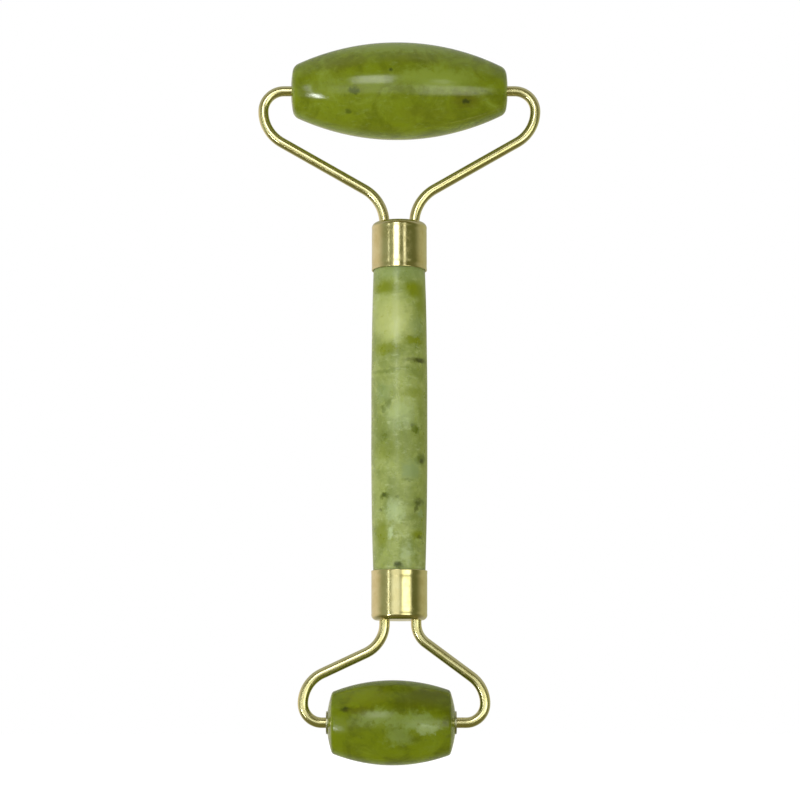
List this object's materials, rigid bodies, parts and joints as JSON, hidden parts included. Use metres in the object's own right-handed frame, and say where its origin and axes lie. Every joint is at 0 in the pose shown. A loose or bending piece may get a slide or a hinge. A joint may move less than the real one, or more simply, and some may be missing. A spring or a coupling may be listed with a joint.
{
  "type": "face roller",
  "caption": "Hand-held facial massage roller: a turned stone handle with a free-turning barrel roller in a bent wire fork at each end, one large and one small.",
  "frame": {"origin": "middle of the grip, on the handle's axis", "axes": "+Z along the handle towards the large roller, +X along both roller axles, -Y towards whoever looks at the face of the forks"},
  "size_m": [0.055, 0.019, 0.1397],
  "materials": {
    "handle_jade": "polished pale green jade with cloudy bands and dark specks",
    "roller_jade": "polished olive green jade with pale clouds and dark specks",
    "gold_brass": "polished pale gold",
    "bush_brass": "satin",
    "epoxy": "cured translucent resin"
  },
  "bodies": {
    "handle": {"handle_stone": "handle_jade", "upper_ferrule": "gold_brass", "lower_ferrule": "gold_brass", "upper_epoxy_fill": "epoxy", "lower_epoxy_fill": "epoxy", "large_fork": "gold_brass", "small_fork": "gold_brass"},
    "large_head": {"large_roller": "roller_jade", "large_bush_left": "bush_brass", "large_bush_right": "bush_brass"},
    "small_head": {"small_roller": "roller_jade", "small_bush_left": "bush_brass", "small_bush_right": "bush_brass"}
  },
  "joints": [
    {"name": "large_roller_spin", "type": "hinge", "parent": "handle", "child": "large_head", "pos_m": [0, 0, 0.0646], "axis": [1, 0, 0], "continuous": true},
    {"name": "small_roller_spin", "type": "hinge", "parent": "handle", "child": "small_head", "pos_m": [-0.0015, 0, -0.0576], "axis": [1, 0, 0], "continuous": true}
  ]
}
